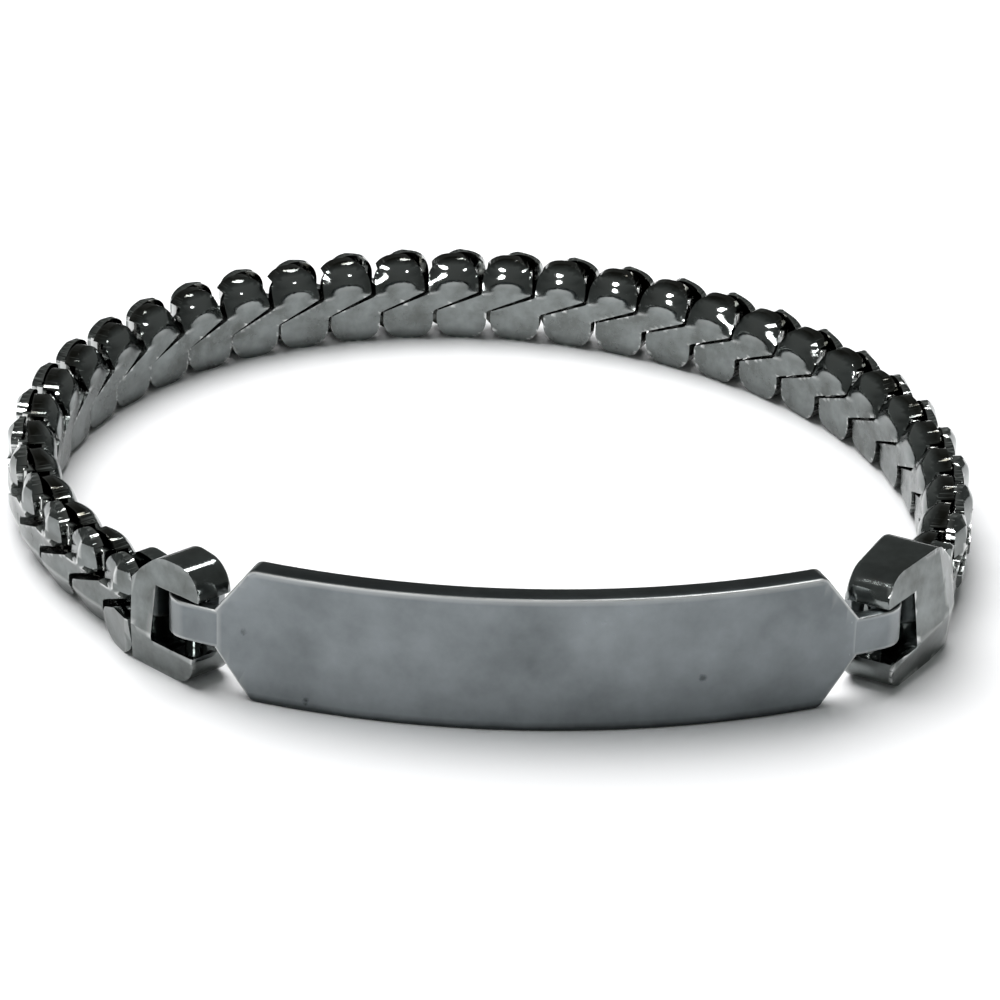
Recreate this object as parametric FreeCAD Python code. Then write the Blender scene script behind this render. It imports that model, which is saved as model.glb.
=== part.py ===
import FreeCAD, Part
import os
from math import atan, cos, degrees, hypot, radians, sin, tan

# Identity bracelet: a bowed name plate hooked at both ends to a chain of heavy two-faced links.
# Millimetres, +Z up. The bracelet stands on its edge as it does on a table, so the wrist axis is
# vertical, the floor is z = 0, and the plate faces -Y. X and Y are centred on the whole bracelet.

# Name plate
plate_height = 9.8
plate_body_length = 38.4      # along the bow, between the upper corners
plate_bow_radius = 53.0       # of the outer face
plate_thickness = 1.6
plate_bevel = 0.22
shoulder_length = 2.6         # along the bow, from a corner of the body to the neck
neck_height = 2.8
neck_thickness = 0.9
hook_place = 24.0             # along the bow, from the middle of the plate to a hook's bar
hook_clearance = 0.15
hook_return = 1.3             # straight end of the hook, behind the bar it holds

# Chain of links
link_pitch = 4.27
chain_width = 6.3             # height of the chain as it stands
chain_thickness = 3.5
lobe_offset = 0.4             # of the pitch, a lobe from the middle of its link
lobe_gap = 0.5                # between neighbouring lobes, measured along the chain
slant_gap = 0.3               # between neighbouring slanted bands
slant_rise = 1.5              # height over which a slanted band crosses the face
knob_radius = 1.6             # corners of a lobe at the edge of the chain
waist_radius = 1.0            # corners of a lobe at the slanted band
face_round = 0.42             # rolled edge of each face
slit_half = 0.62              # from the middle of the thickness to the back of each face
rim_half = 0.28               # from the middle of the thickness to the back of a knob
rim_height = 0.7
bar_place = 3.05              # side bars, from the middle of the link
bar_width = 1.0
bar_half = 0.36
bar_bias = 0.13               # side bars sit a little inwards, as the chain always bends one way
bar_reach = 2.3
bar_foot = 0.75               # a side bar is joined to a face beyond this height
ridge_fall = 16.0             # degrees, the two cut facets of an outer knob
ridge_lean = 14.0             # degrees from upright
outer_knob_inset = 0.22
lens_fall = 28.0              # degrees, the lower half of the outer face falls back to its edge
lens_start = 1.5

# End links
end_height = 8.5
end_upper_arm = 2.05          # heights of the arms above and below the hook
end_lower_arm = 2.4
end_bar_mean = 6.0            # hook bar from the middle of the end link's chain side, mean of both
end_bar_radius = 0.75
end_column_gap = 2.05         # from the column to the axis of the bar
end_corner = 2.1              # rounding of the arms' ends
end_facet = 0.7
end_shoulder = 2.4
end_fall = 12.0              # degrees, the four facets round its highest point
end_facet_turns = (35, 125, 215, 305)
end_peak = 1.7                # highest point, along the chain from the column's edge
plate_corner = 0.4            # rounding of the plate's corners

# How the chain lies: runs of steps with the same turn from one link to the next, clockwise from
# the -X end link to the +X one. The closing step adds the same small turn to every step.
LIE = (
    # steps, degrees each
    (2, 2.7),
    (1, 8.0),
    (4, 9.5),
    (6, 8.6),
    (6, 7.5),
    (6, 7.0),
    (4, 7.8),
    (3, 8.6),
)
first_heading = 124.0         # degrees, the -X end link, before the closing step
overlap = 0.3                 # of pieces that are one solid
tolerance = 1e-6
closing_tries = 20
closing_step = 0.01           # degrees
samples = 5                   # points looked at along an edge

lobe_x = lobe_offset * link_pitch
column_edge = (lobe_offset - 0.5) * link_pitch + lobe_gap / 2
# The links' S shapes put each end link's own lobes on one side of its middle, so the -X end link
# is short and the +X one long.
END_BARS = {-1: end_bar_mean - lobe_x, 1: end_bar_mean + lobe_x}
END_REACHES = {-1: 1.7, 1: 1.1}      # arms past the hook bar
END_BULGES = {-1: 0.9, 1: 1.4}       # outer face past that of the chain


def vec(x, y, z=0.0):
    return FreeCAD.Vector(x, y, z)


def rounded_wire(corners):
    """Closed outline in the XY plane; each corner is x, y and its rounding radius."""
    edges, ends = [], []
    count = len(corners)
    for i, (x, y, radius) in enumerate(corners):
        here = vec(x, y)
        before = vec(*corners[i - 1][:2]) - here
        after = vec(*corners[(i + 1) % count][:2]) - here
        before.normalize()
        after.normalize()
        half = before.getAngle(after) / 2
        reach = radius / tan(half)
        middle = before + after
        middle.normalize()
        start, end = here + before * reach, here + after * reach
        if radius > 0:
            crown = here + middle * (radius / sin(half) - radius)
            edges.append(Part.Arc(start, crown, end).toShape())
        ends.append((start, end))
    lines = []
    for i in range(count):
        a, b = ends[i][1], ends[(i + 1) % count][0]
        if (b - a).Length > tolerance:
            lines.append(Part.LineSegment(a, b).toShape())
    return Part.Wire(Part.__sortEdges__(edges + lines))


def prism(wire, low, high):
    """Solid over an outline, between two levels of z."""
    face = Part.Face(wire)
    face.translate(vec(0, 0, low))
    return face.extrude(vec(0, 0, high - low))


def box(x, y, z):
    """Box from three (low, high) pairs."""
    return Part.makeBox(x[1] - x[0], y[1] - y[0], z[1] - z[0], vec(x[0], y[0], z[0]))


def edges_at(solid, level):
    """Edges that lie wholly at one level of z."""
    return [e for e in solid.Edges if all(abs(p.z - level) < tolerance for p in e.discretize(samples))]


def lobed_outline(inset=0.0):
    """S-shaped face of a link: an upper lobe to the right and a lower lobe to the left."""
    half_pitch = link_pitch / 2
    slope = slant_rise / (2 * lobe_x)
    rise = slant_gap / 2 / cos(atan(slope))
    far = lobe_x + half_pitch - lobe_gap / 2
    near = -column_edge
    top = chain_width / 2
    waist_far = slope * (far - half_pitch) + rise
    waist_near = slope * (near - half_pitch) + rise
    return [
        (far - inset, top, knob_radius),
        (far - inset, waist_far, waist_radius),
        (near, waist_near, waist_radius),
        (near, -top, knob_radius),
        (-far, -top, knob_radius),
        (-far, -waist_far, waist_radius),
        (-near + inset, -waist_near, waist_radius),
        (-near + inset, top, knob_radius),
    ]


def face_plate(outline):
    """One face of a link, its back at slit_half, with thicker knobs along both edges of the chain."""
    top = chain_width / 2
    wire = rounded_wire(outline)
    plate = prism(wire, slit_half, chain_thickness / 2)
    plate = plate.makeFillet(face_round, edges_at(plate, chain_thickness / 2))
    rims = prism(wire, rim_half, slit_half + overlap)
    keep = top - rim_height
    wide = 2 * link_pitch
    rims = rims.cut(box((-wide, wide), (-keep, keep), (0, chain_thickness)))
    return plate.fuse(rims)


def inner_face():
    return face_plate(lobed_outline())


def outer_face():
    """The face worn outwards: the same S turned over, its upper knob cut with two facets."""
    plate = face_plate(lobed_outline(outer_knob_inset))
    lobe_y = chain_width / 4
    wide = 2 * link_pitch
    fall = tan(radians(ridge_fall)) * wide
    crest = chain_thickness / 2
    lens = box((-wide, wide), (-wide, 0), (0, wide))
    lens.rotate(vec(0, 0, 0), vec(1, 0, 0), lens_fall)
    lens.translate(vec(0, -lens_start, crest))
    plate = plate.cut(lens)
    roof = Part.Wire(Part.makePolygon([
        vec(0, crest, 0),
        vec(wide, crest - fall, 0),
        vec(wide, 2 * crest, 0),
        vec(-wide, 2 * crest, 0),
        vec(-wide, crest - fall, 0),
        vec(0, crest, 0),
    ]))
    roof = Part.Face(roof).extrude(vec(0, 0, 2 * wide))
    roof.translate(vec(0, 0, -wide))
    roof.rotate(vec(0, 0, 0), vec(1, 0, 0), 90)
    roof.rotate(vec(0, 0, 0), vec(0, 0, 1), -ridge_lean)
    roof.translate(vec(lobe_x, lobe_y, 0))
    roof = roof.common(box((-wide, wide), (bar_foot, wide), (0, 2 * crest)))
    plate = plate.cut(roof)
    plate.rotate(vec(0, 0, 0), vec(0, 1, 0), 180)
    return plate


def side_bar():
    """Bar at the right of a link, from the inner face at the top to the outer face at the bottom."""
    x = (bar_place - bar_width / 2, bar_place + bar_width / 2)
    root = slit_half + overlap
    back, front = bar_bias - bar_half, bar_bias + bar_half
    bar = box(x, (-bar_reach, bar_reach), (back, front))
    upper = box(x, (bar_foot, bar_reach), (back, root))
    lower = box(x, (-bar_reach, -bar_foot), (-root, front))
    return bar.fuse([upper, lower])


def turned(shape):
    """Half a turn about the middle of the link's face."""
    copy = shape.copy()
    copy.rotate(vec(0, 0, 0), vec(0, 0, 1), 180)
    return copy


def chain_link():
    bar = side_bar()
    return inner_face().fuse([outer_face(), bar, turned(bar)]).removeSplitter()


def faceted(ring, peak, outer):
    """Cuts the outer face of an end link to four facets that meet in a low peak."""
    wide = 4 * link_pitch
    for turn in end_facet_turns:
        slab = box((-wide, wide), (-wide, wide), (-wide, 0))
        slab.rotate(vec(0, 0, 0), vec(0, 1, 0), -end_fall)
        slab.rotate(vec(0, 0, 0), vec(0, 0, 1), turn)
        slab.translate(vec(peak, 0, outer))
        ring = ring.cut(slab)
    return ring


def end_link(link, side):
    """Half a chain link grown into a ring for the plate's hook; side is +1 where the plate is at +x."""
    start = column_edge
    bar_place = END_BARS[side]
    end = bar_place + END_REACHES[side]
    low = -chain_width / 2
    high = low + end_height
    outer = -chain_thickness / 2 - END_BULGES[side]
    wide = 2 * link_pitch
    outline = rounded_wire([
        (start, low, 0),
        (end, low, end_corner),
        (end, high, end_corner),
        (start + end_shoulder, high, end_corner),
        (start, chain_width / 2, 0),
    ])
    ring = prism(outline, outer, chain_thickness / 2)
    ring = ring.makeChamfer(end_facet, edges_at(ring, outer))
    ring = ring.makeFillet(face_round, edges_at(ring, chain_thickness / 2))
    peak = start + end_peak
    if side < 0:
        lobe = prism(rounded_wire(lobed_outline()), outer, -slit_half)
        ring = ring.fuse(lobe.common(box((-wide, start + overlap), (-wide, 0), (outer, 0))))
        peak = start
    ring = faceted(ring, peak, outer)
    opening = (low + end_lower_arm, high - end_upper_arm)
    ring = ring.cut(box((bar_place - end_column_gap, 2 * end), opening, (-wide, wide)))
    bar = Part.makeCylinder(end_bar_radius, opening[1] - opening[0] + 2 * overlap,
                            vec(bar_place, opening[0] - overlap, 0), vec(0, 1, 0))
    ring = ring.fuse(bar)
    half = link.common(box((-wide, start + overlap), (-wide, wide), (-wide, wide)))
    if side < 0:
        half = turned(half)
        ring = ring.mirror(vec(0, 0, 0), vec(1, 0, 0))
    return ring.fuse(half).removeSplitter()


def bar_depth():
    """From the outer face of the plate to the axis of the bar that its hook holds."""
    return neck_thickness + hook_clearance + end_bar_radius


def hook_angle():
    """Radians round the bow from the middle of the plate to a hook's bar."""
    return hook_place / plate_bow_radius


def sector(outer, inner, angle, low, high):
    """Part of an upright tube about the bow's axis, both ways from the front of the plate."""
    tube = Part.makeCylinder(outer, high - low, vec(0, 0, low), vec(0, 0, 1), degrees(2 * angle))
    tube = tube.cut(Part.makeCylinder(inner, high - low, vec(0, 0, low)))
    tube.rotate(vec(0, 0, 0), vec(0, 0, 1), -90 - degrees(angle))
    return tube


def name_plate():
    """Bowed plate with a neck and a hook at each end; its outer face passes through y = 0."""
    r = plate_bow_radius
    body_end = (plate_body_length / 2 + shoulder_length) / r
    corner_x, neck_x = r * sin(plate_body_length / 2 / r), r * sin(body_end)
    low, high = (plate_height - neck_height) / 2, (plate_height + neck_height) / 2
    half = [
        (corner_x, 0, plate_corner),
        (neck_x, low, 0),
        (neck_x, high, 0),
        (corner_x, plate_height, plate_corner),
    ]
    other = [(-x, y, radius) for x, y, radius in reversed(half)]
    front = prism(rounded_wire(half + other), 0, r)
    front.rotate(vec(0, 0, 0), vec(1, 0, 0), 90)
    body = sector(r, r - plate_thickness, body_end, 0, plate_height).common(front)
    rim = [e for e in body.Edges if all(abs(hypot(p.x, p.y) - r) < tolerance for p in e.discretize(samples))]
    body = body.makeChamfer(plate_bevel, rim)
    strip = sector(r, r - neck_thickness, hook_angle(), low, high)
    plate = body.fuse([strip] + [hook(side, low, high) for side in (-1, 1)]).removeSplitter()
    plate.translate(vec(0, r, 0))
    return plate


def hook(side, low, high):
    """Half ring round a hook bar and a short straight end behind it, about the bow's axis."""
    inner = end_bar_radius + hook_clearance
    outer = inner + neck_thickness
    ring = Part.makeCylinder(outer, high - low).cut(Part.makeCylinder(inner, high - low))
    ring = ring.common(box((0, outer), (-outer, outer), (0, high - low)))
    leg = box((-hook_return, 0), (inner, outer), (0, high - low))
    shape = ring.fuse(leg)
    shape.translate(vec(0, bar_depth() - plate_bow_radius, low))
    shape.rotate(vec(0, 0, 0), vec(0, 0, 1), degrees(hook_angle()))
    return shape if side > 0 else shape.mirror(vec(0, 0, 0), vec(1, 0, 0))


def walk(heading, extra):
    """Places of the end links and links, each x, y and heading in degrees, from the -X hook bar at 0, 0."""
    x = END_BARS[-1] * cos(radians(heading))
    y = END_BARS[-1] * sin(radians(heading))
    places = [(x, y, heading)]
    for steps, turn in LIE:
        for _ in range(steps):
            between = radians(heading - (turn + extra) / 2)
            x += link_pitch * cos(between)
            y += link_pitch * sin(between)
            heading -= turn + extra
            places.append((x, y, heading))
    return places


def closing_error(heading, extra):
    """How far the far hook bar ends from its place in the other hook of the plate."""
    x, y, end = walk(heading, extra)[-1]
    chord = 2 * (plate_bow_radius - bar_depth()) * sin(hook_angle())
    return (x + END_BARS[1] * cos(radians(end)) - chord, y + END_BARS[1] * sin(radians(end)))


def closed_walk():
    """The walk round the wrist that brings both hook bars into the plate's hooks."""
    heading, extra, step = first_heading, 0.0, closing_step
    for _ in range(closing_tries):
        ex, ey = closing_error(heading, extra)
        hx, hy = closing_error(heading + step, extra)
        tx, ty = closing_error(heading, extra + step)
        a, b, c, d = (hx - ex) / step, (tx - ex) / step, (hy - ey) / step, (ty - ey) / step
        scale = a * d - b * c
        heading -= (d * ex - b * ey) / scale
        extra -= (a * ey - c * ex) / scale
    print("closing: first heading %.3f, extra turn %.4f, error %.1e" % (heading, extra, hypot(ex, ey)))
    return walk(heading, extra)


def placed(shape, place):
    """A link's shape set up on its place: x along the chain, y up and z towards the wrist."""
    x, y, heading = place
    copy = shape.copy()
    copy.rotate(vec(0, 0, 0), vec(1, 0, 0), 90)
    copy.rotate(vec(0, 0, 0), vec(0, 0, 1), heading)
    copy.translate(vec(x, y, chain_width / 2))
    return copy


def bracelet():
    """All pieces by name, about the middle of the bracelet."""
    link = chain_link()
    places = closed_walk()
    chord_half = (plate_bow_radius - bar_depth()) * sin(hook_angle())
    bar_back = plate_bow_radius - (plate_bow_radius - bar_depth()) * cos(hook_angle())
    pieces = {"name_plate": name_plate()}
    pieces["name_plate"].translate(vec(chord_half, -bar_back, 0))
    pieces["end_link_left"] = placed(end_link(link, -1), places[0])
    pieces["end_link_right"] = placed(end_link(link, 1), places[-1])
    for number, place in enumerate(places[1:-1], 1):
        pieces["link_%02d" % number] = placed(link, place)
    whole = Part.makeCompound(list(pieces.values())).optimalBoundingBox()
    for piece in pieces.values():
        piece.translate(vec(-whole.Center.x, -whole.Center.y, 0))
    plate_place = (chord_half - whole.Center.x, -bar_back - whole.Center.y)
    print("plate middle x %.3f, outer face y %.3f" % plate_place)
    return pieces


def write(pieces):
    os.makedirs("parts", exist_ok=True)
    for name, piece in pieces.items():
        state = (name, piece.isValid(), len(piece.Solids), piece.Volume)
        print("%-15s valid %s, solids %d, %.1f mm3" % state)
        piece.exportStep("parts/%s.step" % name)
    whole = Part.makeCompound(list(pieces.values())).optimalBoundingBox()
    print("size %.2f x %.2f x %.2f, from z %.3f" % (whole.XLength, whole.YLength, whole.ZLength, whole.ZMin))
    print("metal %.1f mm3" % sum(piece.Volume for piece in pieces.values()))


write(bracelet())
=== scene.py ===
from math import atan, cos, pi, radians, sin, sqrt, tan

import bmesh
import bpy
import numpy as np
from mathutils import Matrix, Vector


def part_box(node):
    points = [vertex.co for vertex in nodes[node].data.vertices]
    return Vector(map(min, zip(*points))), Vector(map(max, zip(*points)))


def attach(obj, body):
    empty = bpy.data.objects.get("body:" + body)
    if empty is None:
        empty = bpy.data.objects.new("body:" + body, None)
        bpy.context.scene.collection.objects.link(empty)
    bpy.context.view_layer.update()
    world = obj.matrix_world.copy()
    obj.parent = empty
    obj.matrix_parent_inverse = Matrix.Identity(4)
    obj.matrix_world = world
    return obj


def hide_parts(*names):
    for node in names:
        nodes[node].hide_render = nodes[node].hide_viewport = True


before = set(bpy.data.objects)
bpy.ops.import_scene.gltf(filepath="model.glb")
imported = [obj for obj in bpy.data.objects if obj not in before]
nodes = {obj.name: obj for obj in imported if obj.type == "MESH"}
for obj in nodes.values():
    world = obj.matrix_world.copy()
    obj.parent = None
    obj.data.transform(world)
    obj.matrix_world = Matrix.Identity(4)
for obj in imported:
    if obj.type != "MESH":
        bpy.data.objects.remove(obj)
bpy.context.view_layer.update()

# The table. The bracelet stands on its edge on a plain white paper sheet, laid flat, that runs out
# of the picture on all sides, so its own soft shadow is all that shows round it.

table_half = 1.5
table_white = (0.86, 0.86, 0.87, 1.0)
table_roughness = 0.7
fibre_scale = 400.0
fibre_depth = 0.0002


def new_material(name):
    """A material with a fresh Principled shader, and the tree that its other nodes go into."""
    material = bpy.data.materials.new(name)
    material.use_nodes = True
    tree = material.node_tree
    shader = tree.nodes["Principled BSDF"]
    return material, tree, shader


def add(tree, kind, settings=None, **inputs):
    """Adds a node. An input is a plain value or the socket that feeds it, and goes by its name with
    _ for a space, or by its number as i0, i1 and so on."""
    node = tree.nodes.new(kind)
    for key, value in (settings or {}).items():
        setattr(node, key, value)
    for key, value in inputs.items():
        name = key.replace("_", " ")
        socket = node.inputs[int(name[1:])] if name[0] == "i" and name[1:].isdigit() else node.inputs[name]
        if isinstance(value, bpy.types.NodeSocket):
            tree.links.new(value, socket)
        else:
            socket.default_value = value
    return node


def finish_piece(bm, name, material, smooth_below=28.0):
    """Turns a bmesh in metres into an object with smooth shading between its sharp edges."""
    mesh = bpy.data.meshes.new(name)
    bm.to_mesh(mesh)
    bm.free()
    mesh.materials.append(material)
    mesh.shade_smooth()
    mesh.set_sharp_from_angle(angle=radians(smooth_below))
    piece = bpy.data.objects.new(name, mesh)
    bpy.context.scene.collection.objects.link(piece)
    return piece


table_material, tree, shader = new_material("white sheet")
place = add(tree, "ShaderNodeTexCoord").outputs["Object"]
fibre = add(tree, "ShaderNodeTexNoise", Vector=place, Scale=fibre_scale, Detail=3.0)
shader.inputs["Base Color"].default_value = table_white
shader.inputs["Roughness"].default_value = table_roughness
bump = add(tree, "ShaderNodeBump", Height=fibre.outputs["Fac"], Strength=0.05, Distance=fibre_depth)
tree.links.new(bump.outputs["Normal"], shader.inputs["Normal"])
bm = bmesh.new()
bmesh.ops.create_grid(bm, x_segments=1, y_segments=1, size=table_half)
table = finish_piece(bm, "table", table_material)

# The worn silver that all pieces are made of. Painted shade darkens its slits, hollows and upturned faces,
# its edges are brightened both by wear and as a painted highlight, handling polishes it, and small dents,
# pits and clouds change its shine from place to place.

# noises per metre, and the distance that a pit's rim wanders, in metres
dent_scale = 480.0
speckle_scale = 2600.0
pit_scale = 210.0
pit_wander = 0.0006
# distance from a pit's middle, in its own cells, where it starts and where it is at its darkest
pit_rim, pit_floor = 0.075, 0.03
cloud_contrast, cloud_offset = 1.6, -0.45
rubbed_and_highlit_share = 0.35
patchiness = 0.5
dent_share = 4.0
grain_depth = 0.00002
edge_gain, edge_start = 7.0, 0.25


def worn_silver_group():
    """Colour, roughness and height of worn silver, from a piece's painted shade, its edges (wear and painted
    highlight) and handling.
    """
    group = bpy.data.node_groups.new("worn silver", "ShaderNodeTree")
    face = group.interface
    for name, kind, value in (
        ("Silver", "NodeSocketColor", (0.45, 0.46, 0.46, 1.0)),
        # the colour of tarnish clouds and pits, and also of the painted shade in slits and hollows
        ("Tarnish", "NodeSocketColor", (0.05, 0.05, 0.045, 1.0)),
        # the colour that edges are brightened to, partly for wear and partly as a painted highlight
        ("Bright", "NodeSocketColor", (0.8, 0.8, 0.8, 1.0)),
        # how much a vertex is darkened by painted shade
        ("Hollow", "NodeSocketFloat", 0.0),
        ("Edge", "NodeSocketFloat", 0.0),
        ("Handled", "NodeSocketFloat", 0.0),
        ("Clouds", "NodeSocketFloat", 0.3),
        ("Fineness", "NodeSocketFloat", 330.0),
        ("Marks", "NodeSocketFloat", 0.0),
        ("Polish", "NodeSocketFloat", 0.15),
        ("Dullness", "NodeSocketFloat", 0.3),
    ):
        socket = face.new_socket(name=name, in_out="INPUT", socket_type=kind)
        socket.default_value = value
    face.new_socket(name="Color", in_out="OUTPUT", socket_type="NodeSocketColor")
    face.new_socket(name="Roughness", in_out="OUTPUT", socket_type="NodeSocketFloat")
    face.new_socket(name="Height", in_out="OUTPUT", socket_type="NodeSocketFloat")
    given = group.nodes.new("NodeGroupInput").outputs
    place = add(group, "ShaderNodeTexCoord").outputs["Object"]
    clouds = add(group, "ShaderNodeTexNoise", Vector=place, Scale=given["Fineness"], Detail=5.0,
                 Roughness=0.6)
    dents = add(group, "ShaderNodeTexNoise", Vector=place, Scale=dent_scale, Detail=1.5)
    speckle = add(group, "ShaderNodeTexNoise", Vector=place, Scale=speckle_scale, Detail=4.0,
                  Roughness=0.7)
    cloudy = add(group, "ShaderNodeMath", {"operation": "MULTIPLY_ADD"}, i0=clouds.outputs["Fac"],
                 i1=cloud_contrast, i2=cloud_offset)
    darkening = add(group, "ShaderNodeMath", {"operation": "MULTIPLY", "use_clamp": True},
                  i0=cloudy.outputs[0], i1=given["Clouds"])
    bent = add(group, "ShaderNodeVectorMath", {"operation": "MULTIPLY_ADD"}, i0=speckle.outputs["Color"],
               i1=(pit_wander, pit_wander, pit_wander), i2=place)
    pits = add(group, "ShaderNodeTexVoronoi", Vector=bent.outputs[0], Scale=pit_scale)
    pit = add(group, "ShaderNodeMapRange", Value=pits.outputs["Distance"], i1=pit_rim, i2=pit_floor)
    pitted = add(group, "ShaderNodeMath", {"operation": "MULTIPLY_ADD"}, i0=pit.outputs[0],
                 i1=given["Marks"], i2=darkening.outputs[0])
    # painted shade and the tarnish of clouds and pits darken the silver together
    dark = add(group, "ShaderNodeMath", {"operation": "ADD", "use_clamp": True},
               i0=given["Hollow"], i1=pitted.outputs[0])
    body = add(group, "ShaderNodeMix", {"data_type": "RGBA"}, i0=dark.outputs[0], i6=given["Silver"],
               i7=given["Tarnish"])
    # edges brighten towards Bright as wear and as a painted highlight, more in some places than others
    worn = add(group, "ShaderNodeMath", {"operation": "ADD"}, i0=clouds.outputs["Fac"],
               i1=rubbed_and_highlit_share)
    open_edge = add(group, "ShaderNodeMath", {"operation": "SUBTRACT", "use_clamp": True},
                    i0=given["Edge"], i1=given["Hollow"])
    rubbed_and_highlit = add(group, "ShaderNodeMath", {"operation": "MULTIPLY", "use_clamp": True},
                 i0=open_edge.outputs[0], i1=worn.outputs[0])
    color = add(group, "ShaderNodeMix", {"data_type": "RGBA"}, i0=rubbed_and_highlit.outputs[0],
                i6=body.outputs[2], i7=given["Bright"])
    patchy = add(group, "ShaderNodeMath", {"operation": "MULTIPLY_ADD"}, i0=speckle.outputs["Fac"],
                 i1=patchiness, i2=cloudy.outputs[0])
    rough = add(group, "ShaderNodeMapRange", Value=patchy.outputs[0])
    group.links.new(given["Polish"], rough.inputs["To Min"])
    group.links.new(given["Dullness"], rough.inputs["To Max"])
    shine = add(group, "ShaderNodeMix", {"data_type": "FLOAT"}, i0=given["Handled"], i2=rough.outputs[0],
                i3=given["Polish"])
    result = group.nodes.new("NodeGroupOutput")
    group.links.new(color.outputs[2], result.inputs["Color"])
    group.links.new(shine.outputs[0], result.inputs["Roughness"])
    uneven = add(group, "ShaderNodeMath", {"operation": "MULTIPLY_ADD"}, i0=dents.outputs["Fac"],
                 i1=dent_share, i2=speckle.outputs["Fac"])
    group.links.new(uneven.outputs[0], result.inputs["Height"])
    return group


worn_silver = worn_silver_group()


def silver_material(name, silver, tarnish, bright, clouds, fineness, marks, polish, dullness, grain):
    """Worn silver whose painted shade and edge brightening, part wear and part painted highlight, come from a
    piece's own attributes.
    """
    material, tree, shader = new_material(name)
    hollow = add(tree, "ShaderNodeAttribute", {"attribute_name": "hollow"})
    edge = add(tree, "ShaderNodeAttribute", {"attribute_name": "edge"})
    handled = add(tree, "ShaderNodeAttribute", {"attribute_name": "handled"})
    look = add(tree, "ShaderNodeGroup", {"node_tree": worn_silver}, Silver=silver, Tarnish=tarnish,
               Bright=bright, Clouds=clouds, Fineness=fineness, Marks=marks, Polish=polish, Dullness=dullness,
               Hollow=hollow.outputs["Fac"], Edge=edge.outputs["Fac"], Handled=handled.outputs["Fac"])
    bump = add(tree, "ShaderNodeBump", Height=look.outputs["Height"], Strength=grain, Distance=grain_depth)
    shader.inputs["Metallic"].default_value = 1.0
    tree.links.new(look.outputs["Color"], shader.inputs["Base Color"])
    tree.links.new(look.outputs["Roughness"], shader.inputs["Roughness"])
    tree.links.new(bump.outputs["Normal"], shader.inputs["Normal"])
    return material


def mark_wear_and_shading(mesh, hollow, handled):
    """Stores per vertex: edge, its brightening by wear and as a painted highlight, from how sharply the
    surface turns there; the painted shade and the handling as given.
    """
    count = len(mesh.vertices)
    place = np.empty(3 * count)
    normal = np.empty(3 * count)
    mesh.vertices.foreach_get("co", place)
    mesh.vertices.foreach_get("normal", normal)
    place, normal = place.reshape(-1, 3), normal.reshape(-1, 3)
    ends = np.empty(2 * len(mesh.edges), dtype=int)
    mesh.edges.foreach_get("vertices", ends)
    a, b = ends.reshape(-1, 2).T
    run = place[a] - place[b]
    run /= np.maximum(np.linalg.norm(run, axis=1), 1e-9)[:, None]
    turn, used = np.zeros(count), np.zeros(count)
    np.add.at(turn, a, (run * normal[a]).sum(1))
    np.add.at(turn, b, -(run * normal[b]).sum(1))
    np.add.at(used, a, 1)
    np.add.at(used, b, 1)
    # edge: brightening at convex edges, part wear and part painted highlight
    edge = np.clip(turn / np.maximum(used, 1) * edge_gain - edge_start, 0, 1)
    for name, values in (("edge", edge), ("hollow", hollow), ("handled", handled)):
        layer = mesh.attributes.new(name, "FLOAT", "POINT")
        layer.data.foreach_set("value", values.astype(np.float32))


# The chain links. Each is cast silver in one piece: an S-shaped face towards the wrist, one that
# leans the other way towards the outside, and two upright bars between them, on which the
# neighbouring links turn.

chain_silver = silver_material("chain silver", silver=(0.2, 0.217, 0.215, 1.0),
                               tarnish=(0.035, 0.034, 0.028, 1.0), bright=(0.7, 0.71, 0.7, 1.0),
                               clouds=0.85, fineness=520.0, marks=0.15, polish=0.07, dullness=0.36,
                               grain=0.35)
mm = 0.001
# sizes in millimetres, falls and leans in degrees; first the plan of the two S-shaped faces
link_pitch = 4.27
chain_width = 6.3
chain_thickness = 3.5
lobe_offset = 0.4
lobe_gap = 0.5
slant_gap = 0.3
slant_rise = 1.5
knob_radius = 1.6
waist_radius = 1.0
outer_knob_inset = 0.22
face_round = 0.42
half_width = chain_width / 2
lobe_x = lobe_offset * link_pitch
# depths from the middle of the chain where the faces start, and where the backs of their knobs lie
# within rim_height of its edges
slit_half = 0.62
inner_rim = -0.3
outer_rim = 0.55
rim_height = 0.7
# the inner face: heights where its round shoulders start, their radii, and how far its lobes crown
half_lobe = 1.9
knob_start, knob_roll = 1.35, 1.85
foot_start, foot_roll = 2.2, 1.6
knob_crown, crown_start, crown_length = 0.75, 0.8, 1.4
foot_crown, foot_top = 0.05, -0.9
# the outer face: two cut facets above with a leaning ridge, and a lens below
ridge_fall, ridge_lean = 16.0, 14.0
facet_start, facet_roll = 1.9, 1.5
lens_fall, lens_start, lens_crown = 28.0, 1.5, 0.14
# the bars between the faces
bar_place, bar_width, bar_half, bar_bias, bar_reach, bar_foot = 3.05, 1.0, 0.36, 0.13, 2.3, 0.75
bar_root, bar_round = 0.2, 0.08
# painted shade and wear: the depths between which the painted shade of the slit fades out, and that of
# the inner face's sides, and the heights between which handling polishes the inner knobs and the outer face
slit_fade = (0.1875, 0.9375)
side_fade = (1.25, 1.6)
flat_middle, flat_half = -0.9, 2.1
knob_polish = (0.7, 1.5)
face_polish = (-0.2, 1.4)
least_polish = 0.2
# rows and columns of edges that let a face be shaped
row_start, row_step = -2.95, 0.22
column_start, column_end, column_step = -3.4, 3.5, 0.42


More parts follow.
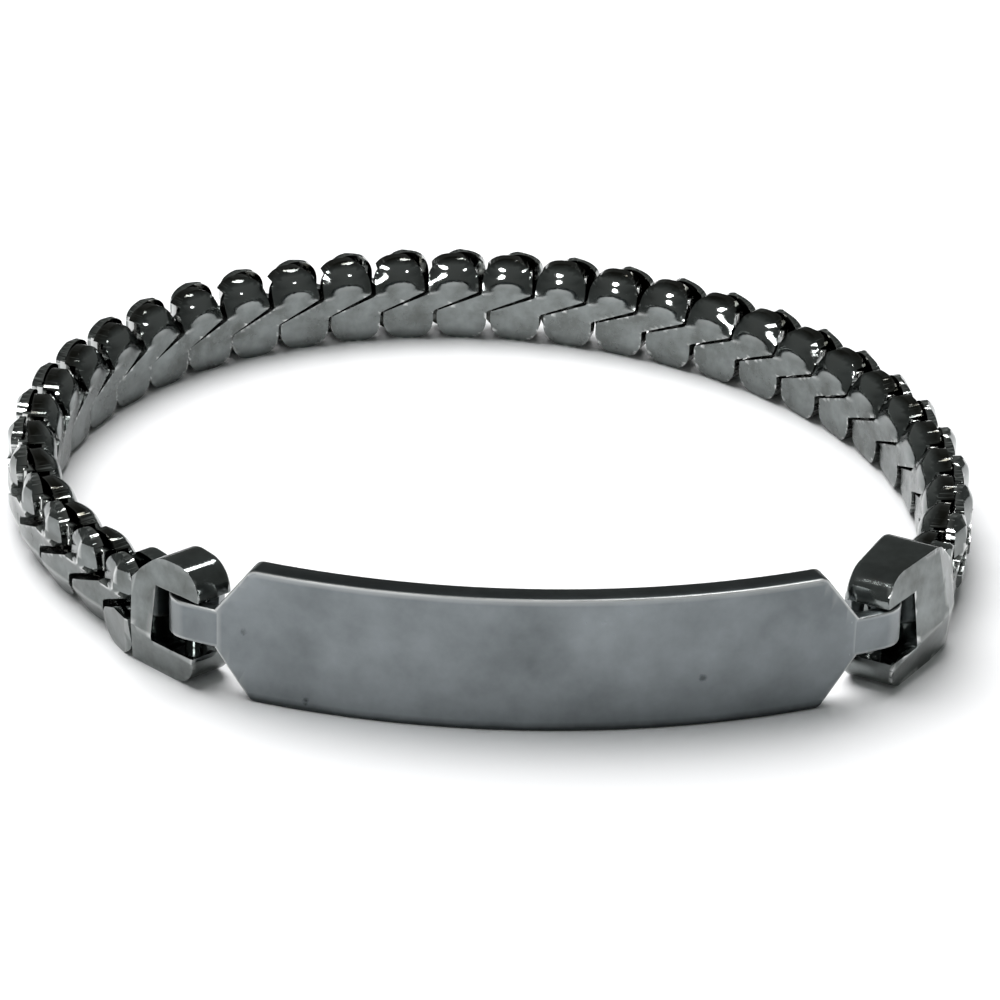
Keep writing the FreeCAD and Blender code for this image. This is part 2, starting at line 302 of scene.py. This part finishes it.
def lobed_plate(inset):
    """One face of a link as a closed plate from slit_half to the face, its outline rounded."""
    half_pitch = link_pitch / 2
    slope = slant_rise / (2 * lobe_x)
    rise = slant_gap / 2 / cos(atan(slope))
    far = lobe_x + half_pitch - lobe_gap / 2
    near = half_pitch - lobe_x - lobe_gap / 2
    waist_far = slope * (far - half_pitch) + rise
    waist_near = slope * (near - half_pitch) + rise
    corners = [
        (far - inset, half_width), (far - inset, waist_far), (near, waist_near), (near, -half_width),
        (-far, -half_width), (-far, -waist_far), (-near + inset, -waist_near), (-near + inset, half_width),
    ]
    bm = bmesh.new()
    face = bm.faces.new([bm.verts.new((x, y, slit_half)) for x, y in reversed(corners)])
    raised = bmesh.ops.extrude_face_region(bm, geom=[face])["geom"]
    tops = [g for g in raised if isinstance(g, bmesh.types.BMVert)]
    bmesh.ops.translate(bm, vec=(0, 0, chain_thickness / 2 - slit_half), verts=tops)
    bmesh.ops.recalc_face_normals(bm, faces=bm.faces)
    for at_edge, radius in ((True, knob_radius), (False, waist_radius)):
        uprights = [e for e in bm.edges if is_upright(e)
                    and (abs(e.verts[0].co.y) > half_width - 0.01) == at_edge]
        bmesh.ops.bevel(bm, geom=uprights, offset=radius, segments=7, profile=0.5, affect="EDGES",
                        material=-1, clamp_overlap=True)
    top = chain_thickness / 2 - 0.001
    rim = [e for e in bm.edges if all(v.co.z > top for v in e.verts)
           and min(f.normal.z for f in e.link_faces) < 0.5]
    bmesh.ops.bevel(bm, geom=rim, offset=face_round, segments=6, profile=0.5, affect="EDGES",
                    material=-1, clamp_overlap=True)
    return bm


def is_upright(edge):
    """Whether an edge runs straight through the plate's thickness."""
    a, b = (v.co for v in edge.verts)
    return abs(a.x - b.x) < 1e-5 and abs(a.y - b.y) < 1e-5 and abs(a.z - b.z) > 0.1


def cut(bm, place, normal):
    """A row of edges through all faces, where a plane crosses them."""
    everything = list(bm.verts) + list(bm.edges) + list(bm.faces)
    bmesh.ops.bisect_plane(bm, geom=everything, dist=1e-4, plane_co=place, plane_no=normal)


def shaped(bm, drop, rim):
    """Lowers the face by drop(x, y) and moves the back of the knobs at both edges of the chain to rim."""
    full = chain_thickness / 2 - slit_half
    for v in bm.verts:
        x, y, z = v.co
        share = (z - slit_half) / full
        back = rim if abs(y) > half_width - rim_height else slit_half
        v.co.z = back + (chain_thickness / 2 - back) * share - drop(x, y) * share


def rolled(distance, radius):
    """How far a round shoulder has fallen at a distance past its start."""
    d = max(0.0, distance)
    return radius - sqrt(max(radius * radius - d * d, 0.0))


def inner_drop(x, y):
    """How far the inner face lies under its highest point: a round knob above and a flat foot below."""
    knob = rolled(y - knob_start, knob_roll)
    grown = min(1.0, max(0.0, (y - crown_start) / crown_length))
    crown = knob_crown * grown * ((x - lobe_x) / half_lobe) ** 2
    foot = foot_crown * ((x + lobe_x) / half_lobe) ** 2 if y < foot_top else 0.0
    return knob + crown + foot + rolled(-y - foot_start, foot_roll)


def outer_drop(x, y):
    """The same of the outer face before it is turned over: two cut facets above and a lens below."""
    lean = tan(radians(ridge_lean))
    if y > bar_foot:
        off = abs((x - lobe_x) - (y - half_width / 2) * lean) * cos(radians(ridge_lean))
        return tan(radians(ridge_fall)) * off + rolled(y - facet_start, facet_roll)
    lens = lens_crown * ((x + lobe_x) / half_lobe) ** 2 + tan(radians(lens_fall)) * max(0.0, -y - lens_start)
    return lens if y < -bar_foot else lens * (bar_foot - y) / (2 * bar_foot)


def face_of_link(inset, drop, rim):
    """One S-shaped face, cut into small cells and shaped by its drop."""
    bm = lobed_plate(inset)
    for y in np.arange(row_start, half_width, row_step):
        cut(bm, (0, y, 0), (0, 1, 0))
    for x in np.arange(column_start, column_end, column_step):
        cut(bm, (x, 0, 0), (1, 0, 0))
    if drop is outer_drop:
        lean = radians(ridge_lean)
        cut(bm, (lobe_x, half_width / 2, 0), (cos(lean), -sin(lean), 0))
    shaped(bm, drop, rim)
    return bm


def block(bm, x, y, z):
    """Adds a box from three (low, high) pairs, its edges softened."""
    size = Vector([pair[1] - pair[0] for pair in (x, y, z)])
    middle = Vector([(pair[1] + pair[0]) / 2 for pair in (x, y, z)])
    made = bmesh.ops.create_cube(bm, size=1.0, matrix=Matrix.LocRotScale(middle, None, size))["verts"]
    edges = list({e for v in made for e in v.link_edges})
    bmesh.ops.bevel(bm, geom=edges, offset=bar_round, segments=2, profile=0.5, affect="EDGES", material=-1)


def link_mesh():
    """All of one link in millimetres, about its middle: x along the chain, y up, z to the wrist."""
    bm = face_of_link(0.0, inner_drop, inner_rim)
    outer = face_of_link(outer_knob_inset, outer_drop, outer_rim)
    bmesh.ops.rotate(outer, verts=outer.verts, cent=(0, 0, 0), matrix=Matrix.Rotation(pi, 3, "Y"))
    spare = bpy.data.meshes.new("outer face")
    outer.to_mesh(spare)
    outer.free()
    bm.from_mesh(spare)
    bpy.data.meshes.remove(spare)
    back, front = bar_bias - bar_half, bar_bias + bar_half
    root = slit_half + bar_root
    for side in (1, -1):
        x = sorted((side * (bar_place - bar_width / 2), side * (bar_place + bar_width / 2)))
        block(bm, x, (-bar_reach, bar_reach), (back, front))
        block(bm, x, sorted((side * bar_foot, side * bar_reach)), (back, root))
        block(bm, x, sorted((-side * bar_reach, -side * bar_foot)), (-root, front))
    mesh = bpy.data.meshes.new("link")
    bm.to_mesh(mesh)
    bm.free()
    return mesh


def plan_frame(name):
    """Where a CAD link stands, as a matrix from its own millimetres to the scene's metres."""
    mesh = nodes[name].data
    points = np.empty(3 * len(mesh.vertices))
    mesh.vertices.foreach_get("co", points)
    points = points.reshape(-1, 3)[:, :2]
    centre = (points.min(0) + points.max(0)) / 2
    # a link is narrowest across the chain, and the turn that shows this is found ever more finely
    best, step = 0.0, radians(4.0)
    span = np.arange(-23, 23)
    while step > radians(0.005):
        angles = best + span * step
        reach = points @ np.stack([np.cos(angles), np.sin(angles)])
        best = angles[np.argmin(reach.max(0) - reach.min(0))]
        step /= 8
    across = np.array([cos(best), sin(best)])
    if across @ centre > 0:
        across = -across
    along = np.array([-across[1], across[0]])
    middle = [((points @ d).min() + (points @ d).max()) / 2 for d in (along, across)]
    origin = along * middle[0] + across * middle[1]
    matrix = Matrix(((along[0], 0, across[0], origin[0]), (along[1], 0, across[1], origin[1]),
                     (0, 1, 0, chain_width / 2 * mm), (0, 0, 0, 1)))
    return matrix @ Matrix.Scale(mm, 4)


def fade(values, start, end):
    """0 up to the start, 1 from the end on, and straight between them."""
    return np.clip((values - start) / (end - start), 0, 1)


def link_shade_and_handling(mesh):
    """How much painted shade and how much handling each vertex of a link gets, from its height and its depth.
    """
    place = np.empty(3 * len(mesh.vertices))
    mesh.vertices.foreach_get("co", place)
    _, height, depth = place.reshape(-1, 3).T
    inner = depth > 0
    flat = inner & (np.abs(height - flat_middle) < flat_half)
    # painted shade: the inner flats darken towards their rolled sides, the rest towards the slit between the
    # faces
    hollow = np.where(flat, 1 - fade(depth, *side_fade), 1 - fade(np.abs(depth), *slit_fade))
    face = least_polish + (1 - least_polish) * fade(height, *face_polish)
    handled = np.where(inner, fade(height, *knob_polish), face)
    return hollow, handled


pattern = link_mesh()
link_painted_shade, link_handled = link_shade_and_handling(pattern)
for name in sorted(n for n in nodes if n.startswith("link_")):
    mesh = pattern.copy()
    mesh.transform(plan_frame(name))
    mark_wear_and_shading(mesh, link_painted_shade, link_handled)
    bm = bmesh.new()
    bm.from_mesh(mesh)
    bpy.data.meshes.remove(mesh)
    piece = finish_piece(bm, "silver_" + name, chain_silver, 26.0)
    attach(piece, "root")
    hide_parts(name)

# The end links. Each is a heavy silver ring of two arms and an upright bar, cast in one with the
# lobes of a chain link; the bar is what the plate's hook turns on.

end_round = 0.14
end_cell = 0.5
end_sharp = 24.0
end_handled = 0.85


def softened_copy(name, round_off):
    """A closed copy of a CAD node whose sharp edges are rounded off a little."""
    bm = bmesh.new()
    bm.from_mesh(nodes[name].data)
    bm.transform(Matrix.Scale(1 / mm, 4))
    bmesh.ops.remove_doubles(bm, verts=bm.verts, dist=1e-3)
    bmesh.ops.dissolve_limit(bm, angle_limit=radians(0.5), verts=bm.verts, edges=bm.edges)
    sharp = [e for e in bm.edges if len(e.link_faces) == 2 and e.calc_face_angle() > radians(end_sharp)]
    bmesh.ops.bevel(bm, geom=sharp, offset=round_off, segments=3, profile=0.5, affect="EDGES",
                    material=-1, clamp_overlap=True)
    for axis in range(3):
        reach = [v.co[axis] for v in bm.verts]
        normal = Matrix.Identity(3)[axis]
        for place in np.arange(min(reach) + end_cell, max(reach), end_cell):
            cut(bm, place * normal, normal)
    bm.transform(Matrix.Scale(mm, 4))
    return bm


for name in ("end_link_left", "end_link_right"):
    piece = finish_piece(softened_copy(name, end_round), "silver_" + name, chain_silver, 26.0)
    even = np.ones(len(piece.data.vertices))
    # the end links get edge brightening (wear and painted highlight) but no painted shade
    mark_wear_and_shading(piece.data, 0 * even, end_handled * even)
    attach(piece, "root")
    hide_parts(name)

# The name plate. A stout strip of silver, bowed to the wrist, its shoulders filed down to a neck at
# each end that is bent round the end link's bar as a hook. Its front is satin from long wear.

plate_height = 9.8
plate_body_length = 38.4
plate_bow_radius = 53.0
plate_thickness = 1.6
plate_corner, plate_bevel, plate_back_bevel = 0.35, 0.22, 0.12
plate_column = 0.6
shoulder_length = 2.6
neck_height = 2.8
neck_thickness = 0.9
neck_overlap = 0.6
neck_steps = 3
hook_place = 24.0
hook_clearance = 0.15
hook_return = 1.3
hook_steps = 14
hook_round = 0.13
bar_radius = 0.75
# painted shade darkens the plate's upper edge, where its surface faces up, and its lowest half millimetre is
# darkened too
top_painted_shade, top_facing = 0.7, (0.8, 1.0)
low_rim_darkening = (0.12, 0.52)
# heights of the rows of edges that keep the brightened edges and the darkened rims off the middle of the
# faces
PLATE_ROWS = (0.35, 0.7, 1.4, 2.6, 3.8, 4.3, 5.5, 6.0, 7.2, 8.4, 9.3)

plate_silver = silver_material("plate silver", silver=(0.205, 0.225, 0.235, 1.0),
                               tarnish=(0.05, 0.056, 0.058, 1.0), bright=(0.6, 0.61, 0.6, 1.0),
                               clouds=0.9, fineness=150.0, marks=0.55, polish=0.22, dullness=0.42,
                               grain=0.3)


def bowed(bm, middle_x, front_y):
    """Bends the flat plate (x along it, y into its thickness) round the wrist, in metres."""
    for v in bm.verts:
        u = max(-hook_place, min(hook_place, v.co.x))
        past = v.co.x - u
        a = u / plate_bow_radius
        r = plate_bow_radius - v.co.y
        v.co = Vector((middle_x + (r * sin(a) + past * cos(a)) * mm,
                       front_y + (plate_bow_radius - r * cos(a) + past * sin(a)) * mm, v.co.z * mm))


def plate_body():
    """The plate without its hooks, still flat, its front at y = 0."""
    bm = bmesh.new()
    corner = plate_body_length / 2
    neck = corner + shoulder_length
    low, high = (plate_height - neck_height) / 2, (plate_height + neck_height) / 2
    half = [(corner, 0), (neck, low), (neck, high), (corner, plate_height)]
    outline = half + [(-x, z) for x, z in reversed(half)]
    face = bm.faces.new([bm.verts.new((x, 0, z)) for x, z in outline])
    raised = bmesh.ops.extrude_face_region(bm, geom=[face])["geom"]
    bmesh.ops.translate(bm, vec=(0, plate_thickness, 0),
                        verts=[g for g in raised if isinstance(g, bmesh.types.BMVert)])
    bmesh.ops.recalc_face_normals(bm, faces=bm.faces)
    deep = [e for e in bm.edges if abs(e.verts[0].co.y - e.verts[1].co.y) > 0.1
            and abs(e.verts[0].co.x) < neck - 0.1]
    bmesh.ops.bevel(bm, geom=deep, offset=plate_corner, segments=4, profile=0.5, affect="EDGES",
                    material=-1)
    front = [e for e in bm.edges if all(v.co.y < 0.001 for v in e.verts) and not e.is_boundary
             and max(f.normal.y for f in e.link_faces) > -0.5]
    bmesh.ops.bevel(bm, geom=front, offset=plate_bevel, segments=2, profile=0.6, affect="EDGES",
                    material=-1)
    back = [e for e in bm.edges if all(v.co.y > plate_thickness - 0.001 for v in e.verts)
            and min(f.normal.y for f in e.link_faces) < 0.5]
    bmesh.ops.bevel(bm, geom=back, offset=plate_back_bevel, segments=2, profile=0.5, affect="EDGES",
                    material=-1)
    for x in np.arange(-neck + plate_column, neck, plate_column):
        cut(bm, (x, 0, 0), (1, 0, 0))
    return bm


def add_hook(bm, side):
    """A neck and its hook, before the plate is bowed."""
    low, high = (plate_height - neck_height) / 2, (plate_height + neck_height) / 2
    start = side * (plate_body_length / 2 + shoulder_length - neck_overlap)
    corners = [(start, 0, low), (start, neck_thickness, low), (start, neck_thickness, high), (start, 0, high)]
    before = set(bm.verts)
    face = bm.faces.new([bm.verts.new(c) for c in corners])
    run = side * hook_place - start
    for step in range(neck_steps):
        face = pushed(bm, face, (run / neck_steps, 0, 0))
    axis = (side * hook_place, neck_thickness + hook_clearance + bar_radius, 0)
    made = bmesh.ops.spin(bm, geom=[face] + list(face.edges) + list(face.verts), cent=axis,
                          axis=(0, 0, side), angle=pi, steps=hook_steps, use_duplicate=False)["geom_last"]
    face = [g for g in made if isinstance(g, bmesh.types.BMFace)][0]
    pushed(bm, face, (-side * hook_return, 0, 0))
    verts = [v for v in bm.verts if v not in before]
    faces = list({f for v in verts for f in v.link_faces})
    bmesh.ops.recalc_face_normals(bm, faces=faces)
    long_edges = [e for e in {e for v in verts for e in v.link_edges}
                  if len(e.link_faces) == 2 and e.calc_face_angle() > radians(60)]
    bmesh.ops.bevel(bm, geom=long_edges, offset=hook_round, segments=3, profile=0.5, affect="EDGES",
                    material=-1)


def pushed(bm, face, by):
    """Extrudes a face and moves the new one; the old one goes."""
    made = bmesh.ops.extrude_discrete_faces(bm, faces=[face])["faces"][0]
    bmesh.ops.translate(bm, vec=by, verts=made.verts)
    return made


bm = plate_body()
for side in (-1, 1):
    add_hook(bm, side)
for z in PLATE_ROWS:
    cut(bm, (0, 0, z), (0, 0, 1))
low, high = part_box("name_plate")
bowed(bm, (low.x + high.x) / 2, low.y)
piece = finish_piece(bm, "silver_name_plate", plate_silver, 30.0)
even = np.ones(len(piece.data.vertices))
facing = np.array([tuple(v.normal) for v in piece.data.vertices])
height = np.array([v.co.z for v in piece.data.vertices]) / mm
# painted shade on faces that turn up, plus a darker lowest half millimetre
darkening = top_painted_shade * fade(facing[:, 2], *top_facing) + 1 - fade(height, *low_rim_darkening)
mark_wear_and_shading(piece.data, darkening, 0 * even)
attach(piece, "root")
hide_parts("name_plate")

# The studio. Two small bright lamps on stands above and to the left put the twin points of light on
# every polished knob, a third stands to the right and a fourth behind, and the room above is dim.

room_grey = (0.16, 0.17, 0.165, 1.0)
# name, azimuth and elevation in degrees, distance and diameter in metres, power in watts; the
# soft lamp lights the table but is left out of the reflections, the others are the other way round
LAMPS = (
    ("high lamp", -36.0, 58.0, 0.9, 0.24, 5.0),
    ("low lamp", -26.0, 28.0, 0.9, 0.24, 5.0),
    ("right lamp", 52.0, 40.0, 1.0, 0.10, 0.7),
    ("back lamp", 150.0, 62.0, 1.0, 0.20, 2.0),
    ("soft lamp", -150.0, 62.0, 0.8, 1.0, 14.0),
)

world = bpy.data.worlds.new("dim room")
world.use_nodes = True
world.node_tree.nodes["Background"].inputs["Color"].default_value = room_grey
world.node_tree.nodes["Background"].inputs["Strength"].default_value = 1.0
bpy.context.scene.world = world


def aimed(place, target):
    """Matrix of a lamp or camera at a place that looks at a target, with +Z as up."""
    back = (place - target).normalized()
    right = Vector((0, 0, 1)).cross(back).normalized()
    turn = Matrix((right, back.cross(right), back)).transposed()
    return Matrix.Translation(place) @ turn.to_4x4()


for name, azimuth, elevation, distance, size, power in LAMPS:
    lamp = bpy.data.lights.new(name, "AREA")
    lamp.shape = "DISK"
    lamp.size = size
    lamp.energy = power
    stand = bpy.data.objects.new(name, lamp)
    a, e = radians(azimuth), radians(elevation)
    stand.matrix_world = aimed(distance * Vector((cos(e) * sin(a), -cos(e) * cos(a), sin(e))), Vector())
    stand.visible_glossy = name != "soft lamp"
    stand.visible_diffuse = name == "soft lamp"
    bpy.context.scene.collection.objects.link(stand)

# The camera stands where the photograph was taken from: in front of the plate and well above the
# table, far back with a long lens, and leaning a little to one side.

camera_place = Vector((-10.15, -295.45, 156.1)) * mm
camera_heading, camera_dip, camera_roll = radians(2.17), radians(27.73), radians(1.82)
camera_lens = 169.1

camera = bpy.data.cameras.new("camera")
camera.lens = camera_lens
camera.sensor_width = 36.0
camera.clip_start = 0.01
view = bpy.data.objects.new("camera", camera)
ahead = Vector((cos(camera_dip) * sin(camera_heading), cos(camera_dip) * cos(camera_heading),
                -sin(camera_dip)))
level = aimed(camera_place, camera_place + ahead)
view.matrix_world = level @ Matrix.Rotation(camera_roll, 4, "Z")
bpy.context.scene.collection.objects.link(view)
bpy.context.scene.camera = view
bpy.context.scene.view_settings.view_transform = "Standard"
